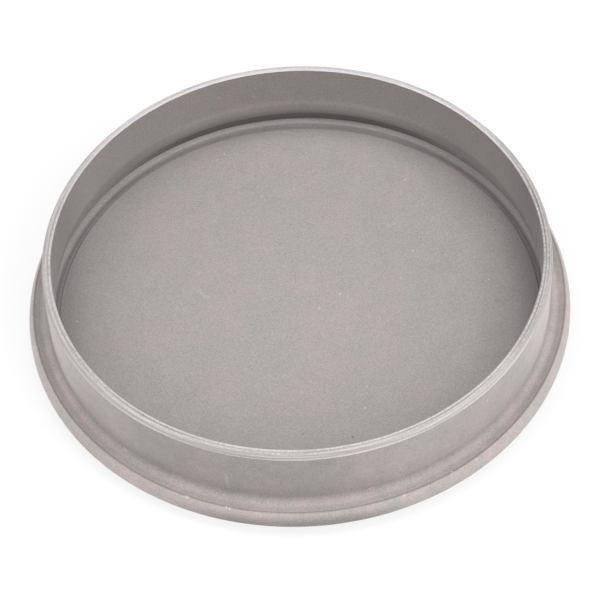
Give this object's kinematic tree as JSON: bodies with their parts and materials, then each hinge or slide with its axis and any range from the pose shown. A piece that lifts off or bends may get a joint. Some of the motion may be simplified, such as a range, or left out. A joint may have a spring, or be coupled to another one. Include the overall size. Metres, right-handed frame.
{
  "type": "hub grease cap",
  "caption": "Shallow round metal cup that presses into a wheel hub, with a flat closed face, a narrow flange, a relief round the foot of its wall and a chamfered lip.",
  "frame": {"origin": "centre of the closed face, which is the face that the cap rests on with its mouth up", "axes": "+Z along the axis of the cap, from the closed face to the open mouth; X and Y are any two directions across it"},
  "size_m": [0.0866, 0.0866, 0.0157],
  "materials": {
    "bare_metal": "blasted grey skin, dull, with a bright turned lip"
  },
  "bodies": {
    "root": {"cap": "bare_metal"}
  },
  "joints": []
}
